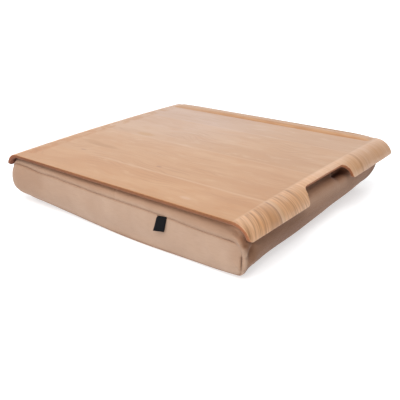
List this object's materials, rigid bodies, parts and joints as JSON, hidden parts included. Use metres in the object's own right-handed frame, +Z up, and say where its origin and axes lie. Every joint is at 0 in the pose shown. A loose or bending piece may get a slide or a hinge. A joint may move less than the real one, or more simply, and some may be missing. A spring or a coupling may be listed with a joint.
{
  "type": "lap tray with cushion",
  "caption": "Lap tray: a moulded plywood board with rolled-down ends, handle notches and a rear ledge, held by hook and loop tape on a zipped, bead-filled cushion.",
  "frame": {"origin": "on the surface that the cushion rests on, under the middle of the tray", "axes": "+X along the tray's long side, +Y from the front edge with the tag to the rear edge with the ledge, +Z up"},
  "size_m": [0.46, 0.38, 0.081],
  "materials": {
    "wood_face": "satin lacquered face veneer, grain along X",
    "wood_crossband": "oiled ply, grain across the board",
    "wood_core": "oiled ply, grain along the board",
    "wood_back": "sealed back veneer, grain along X",
    "wood_ledge": "satin lacquered solid wood, grain along X",
    "hook_tape": "woven nylon hook tape",
    "loop_tape": "brushed nylon loop tape",
    "cover_canvas": "plain woven cotton canvas",
    "tag_ribbon": "black woven ribbon, bare",
    "bag_cotton": "plain cotton inner bag",
    "bead_foam": "loose expanded beads",
    "zip_tape": "woven zip tape",
    "zip_coil": "nylon coil",
    "zip_metal": "lacquered zinc"
  },
  "bodies": {
    "cushion": {"cushion_loop_tape_front": "loop_tape", "cushion_loop_tape_rear": "loop_tape", "cover_wrap_band": "cover_canvas", "cover_front_panel": "cover_canvas", "cover_rear_panel_upper": "cover_canvas", "cover_rear_panel_lower": "cover_canvas", "cover_bottom_panel": "cover_canvas", "seam_tag": "tag_ribbon", "inner_bag": "bag_cotton", "bead_filling": "bead_foam", "zip_tape_upper": "zip_tape", "zip_tape_lower": "zip_tape", "zip_coil_upper": "zip_coil", "zip_coil_lower": "zip_coil", "zip_top_stops": "zip_metal", "zip_bottom_stop": "zip_metal"},
    "tray": {"tray_face_veneer": "wood_face", "tray_upper_crossband": "wood_crossband", "tray_core_ply": "wood_core", "tray_lower_crossband": "wood_crossband", "tray_back_veneer": "wood_back", "tray_rear_ledge": "wood_ledge", "tray_hook_tape_front": "hook_tape", "tray_hook_tape_rear": "hook_tape"},
    "slider": {"zip_slider": "zip_metal"},
    "pull": {"zip_pull": "zip_metal"}
  },
  "joints": [
    {"name": "tray_lift", "type": "slide", "parent": "cushion", "child": "tray", "axis": [0, 0, 1], "range_m": [0, 0.08]},
    {"name": "zip_run", "type": "slide", "parent": "cushion", "child": "slider", "axis": [-1, 0, 0], "range_m": [0, 0.35]},
    {"name": "pull_swing", "type": "hinge", "parent": "slider", "child": "pull", "pos_m": [0.177, 0.1865, 0.034], "axis": [0, 0, 1], "range_deg": [-180, 0]}
  ]
}
